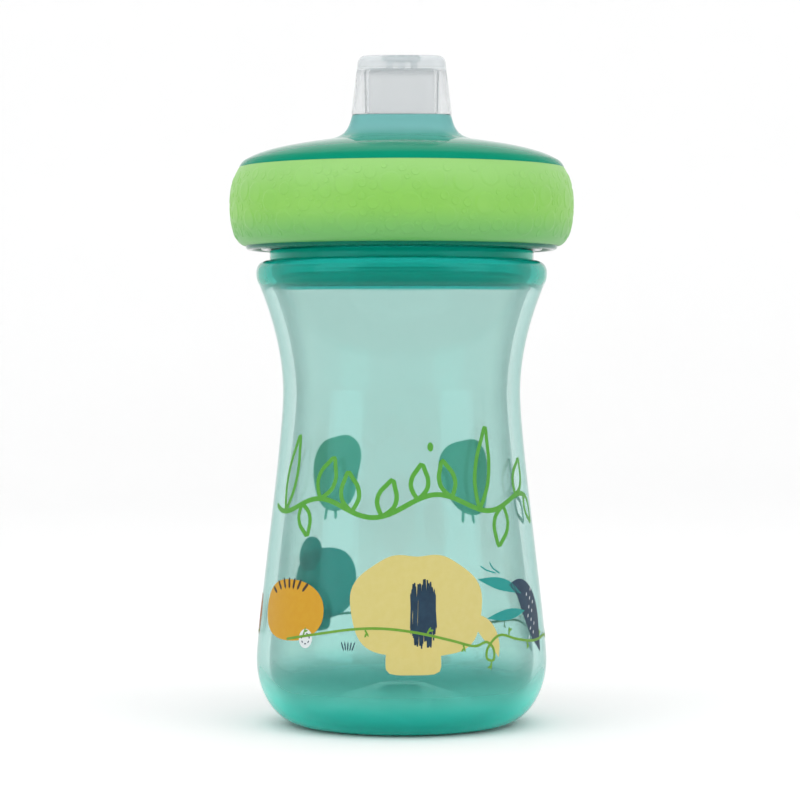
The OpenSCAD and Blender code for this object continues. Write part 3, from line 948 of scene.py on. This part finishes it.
def rayed_disc():
    """Short dashes round the upper edge of a disc."""
    dashes = []
    for k in range(7):
        angle = math.radians(150 - 17 * k)
        inner, outer = oblong(angle, 8.4, 5.0, 2.3), oblong(angle, 10.6, 7.8, 2.3)
        dashes.append(stroke([(inner * math.cos(angle), inner * math.sin(angle)),
                              (outer * math.cos(angle), outer * math.sin(angle))], 0.75, 4))
    return dashes


def ticks(count, width, height, size):
    """Scattered short dashes."""
    random.seed(11)
    dashes = []
    for k in range(count):
        x, y = width * (2 * ((k * 0.618) % 1) - 1), height * (2 * (k + 0.5) / count - 1)
        dashes.append(stroke([(x, y), (x + size * random.uniform(0.3, 0.7), y + size)], 0.32, 3))
    return dashes


def ring_of_dashes(count, radius, length, width):
    """Dashes set in a circle."""
    dashes = []
    for k in range(count):
        a, b = math.tau * k / count, math.tau * k / count + length / radius
        dashes.append(stroke([(radius * math.cos(t), radius * math.sin(t)) for t in (a, (a + b) / 2, b)],
                             width, 3))
    return dashes


def grass(places, height):
    """Upright blades side by side."""
    return [stroke([(x, -height / 2), (x + 0.3, 0), (x - 0.2, height / 2)], 1.1, 4, True) for x in places]


def tree():
    """A round-headed tree on a thin stem with two roots."""
    crown = blob(lambda angle: oblong(angle, 8.4, 9.6, 2.4) + 0.8 * math.sin(3 * angle + 0.7))
    return [crown, stroke([(-1, -9), (-1.4, -12.5)], 0.9, 4), stroke([(2, -9), (2.4, -12.5)], 0.9, 4)]


green_ink = ink("green_ink", (78, 162, 44))
vine_ink = ink("vine_green_ink", (104, 160, 40))
orange_ink = ink("orange_ink", (212, 156, 0))
brown_ink = ink("brown_ink", (48, 34, 22))
navy_ink = ink("navy_ink", (6, 50, 76))
teal_ink = ink("teal_ink", (0, 206, 196), 0.75)
sea_ink = ink("sea_green_ink", (176, 240, 214), 0.8)
front_teal_ink = ink("front_teal_ink", (0, 148, 142))
yellow_ink = ink("pale_yellow_ink", (216, 202, 122))
white_ink = ink("white_ink", (226, 232, 234))
rust_ink = ink("rust_ink", (206, 128, 70), 0.5)

printed("print_garland", green_ink, 1.5, 55.5, garland())
printed("print_back_left_tree", sea_ink, -143, 61.5, tree())
printed("print_back_right_tree", sea_ink, 144, 60.5, tree())
printed("print_back_bush", teal_ink, -139, 32.5, [
    ellipse(11.8, 9.4, 2.6), shifted(ellipse(5.2, 4.4), 5.6, 8.2), shifted(ellipse(3.4, 2.6, 4), -1, -9.6)])
printed("print_grass", rust_ink, -88, 27.5, grass((-4.6, -2.4, 0, 2.6, 4.4), 10))
printed("print_sun", orange_ink, -51, 30, [ellipse(11.3, 7.3, 2.3)])
printed("print_sun_rays", brown_ink, -51, 30, rayed_disc(), 1)
printed("print_flower", white_ink, -40.5, 23.6, [ellipse(2.1, 2.3)], 1)
printed("print_flower_dashes", navy_ink, -40.5, 23.6, ring_of_dashes(7, 1.25, 0.7, 0.3), 2)
printed("print_bush", yellow_ink, 6.5, 31.2, bush())
printed("print_hatching", navy_ink, 8.5, 30.4, hatching(), 1)
printed("print_twigs", navy_ink, -21, 21.2, [
    stroke([(0.5 * k, 0), (0.9 * k, 2.3)], 0.3, 3) for k in range(-2, 3)])
printed("print_pointed_leaves", front_teal_ink, 44, 33.5, [
    stroke([(-7, 4.4), (-2, 3.4), (3, 2.2), (8, 0.2)], 3.0, 6, True),
    stroke([(-5, -5), (0, -4.6), (5, -4.2), (9, -4)], 2.6, 6, True),
    stroke([(-6, 7.6), (-4, 6.4), (-1, 5.6)], 0.35, 4), stroke([(-3, 8.4), (-2, 6.8), (0.4, 5.4)], 0.35, 4)])
printed("print_navy_leaf", navy_ink, 63, 27.5, [
    stroke([(-8.5, 8.6), (-3.5, 7.2), (0.5, 2.6), (2.4, -3.4), (4.6, -8.6)], 8.4, 8, True)])
printed("print_leaf_ticks", white_ink, 63.5, 28.2, ticks(12, 2.0, 6.2, 0.9), 1)
printed("print_vine", vine_ink, 0, 21.8, vine(), 3)
printed("print_back_vine", vine_ink, 180, 22.8, back_vine())
printed("print_back_sun", orange_ink, 180, 28, [ellipse(8.2, 6.6, 2.3)])
printed("print_back_leaf", green_ink, 158, 27.5, [
    stroke([(-4, -6), (-1, -2), (1, 2), (3, 7)], 6, 8, True)])


# ---------------------------------------------------------------- seal, valves and holder

cad_finishes = {
    "lid_seal": milky_silicone("seal_silicone", (0, 140, 112), 0.35, 0.5),
    "flow_valve": milky_silicone("flow_valve_silicone", (236, 239, 243), 0.28, 0.42),
    "vent_valve": milky_silicone("vent_silicone", (236, 239, 243), 0.28, 0.42),
    "valve_holder": holder_plastic(),
}
for node, material in cad_finishes.items():
    mesh = frame["nodes"][node].data
    mesh.materials.clear()
    mesh.materials.append(material)


# ---------------------------------------------------------------- stage, lights and camera

def backdrop():
    """A round white cove: a flat floor, just under the standing ring, that sweeps up all round."""
    low = -0.02
    outline = [(0, low), (900, low)] + curve((900, low), (1350, low), (1500, 150), (1500, 600), 24)[1:]
    cove = spun("cove", outline + [(1500, 900)], steps=96, closed=False)
    s = Shader("cove_paint")
    colour = s.mix(s.noise(240, 2), (0.94, 0.94, 0.94, 1), (0.92, 0.92, 0.92, 1))
    cove.data.materials.append(s.surface(Base_Color=colour, Roughness=0.9))


def softbox(name, place, aim, size, watts):
    """A rectangular area light at place that faces aim, both in millimetres."""
    light = bpy.data.lights.new(name, "AREA")
    light.shape = "RECTANGLE"
    light.size, light.size_y = (side * MM for side in size)
    light.energy = watts
    lamp = bpy.data.objects.new(name, light)
    lamp.location = Vector(place) * MM
    lamp.rotation_euler = (Vector(aim) - Vector(place)).to_track_quat("-Z", "Y").to_euler()
    bpy.context.scene.collection.objects.link(lamp)


def world(strength):
    """Even white surroundings."""
    sky = bpy.data.worlds.new("studio")
    sky.use_nodes = True
    background = sky.node_tree.nodes["Background"]
    background.inputs["Color"].default_value = (1, 1, 1, 1)
    background.inputs["Strength"].default_value = strength
    bpy.context.scene.world = sky


backdrop()
world(1.0)
middle = (0, 0, 90)
softbox("left_softbox", (-700, -500, 450), middle, (600, 900), 1.8)
softbox("right_softbox", (700, -500, 450), middle, (600, 900), 1.6)
softbox("top_softbox", (0, -500, 1000), middle, (1200, 800), 2.0)

camera = bpy.data.cameras.new("camera")
camera.sensor_width = 36
camera.lens = 128.8
eye = bpy.data.objects.new("camera", camera)
eye.location = Vector((0, -710, 94)) * MM
eye.rotation_euler = (Vector((-0.4, 0, 80.1)) * MM - eye.location).to_track_quat("-Z", "Y").to_euler()
bpy.context.scene.collection.objects.link(eye)
bpy.context.scene.camera = eye
bpy.context.scene.view_settings.view_transform = "Standard"
bpy.context.scene.cycles.max_bounces = 32
bpy.context.scene.cycles.transmission_bounces = 32
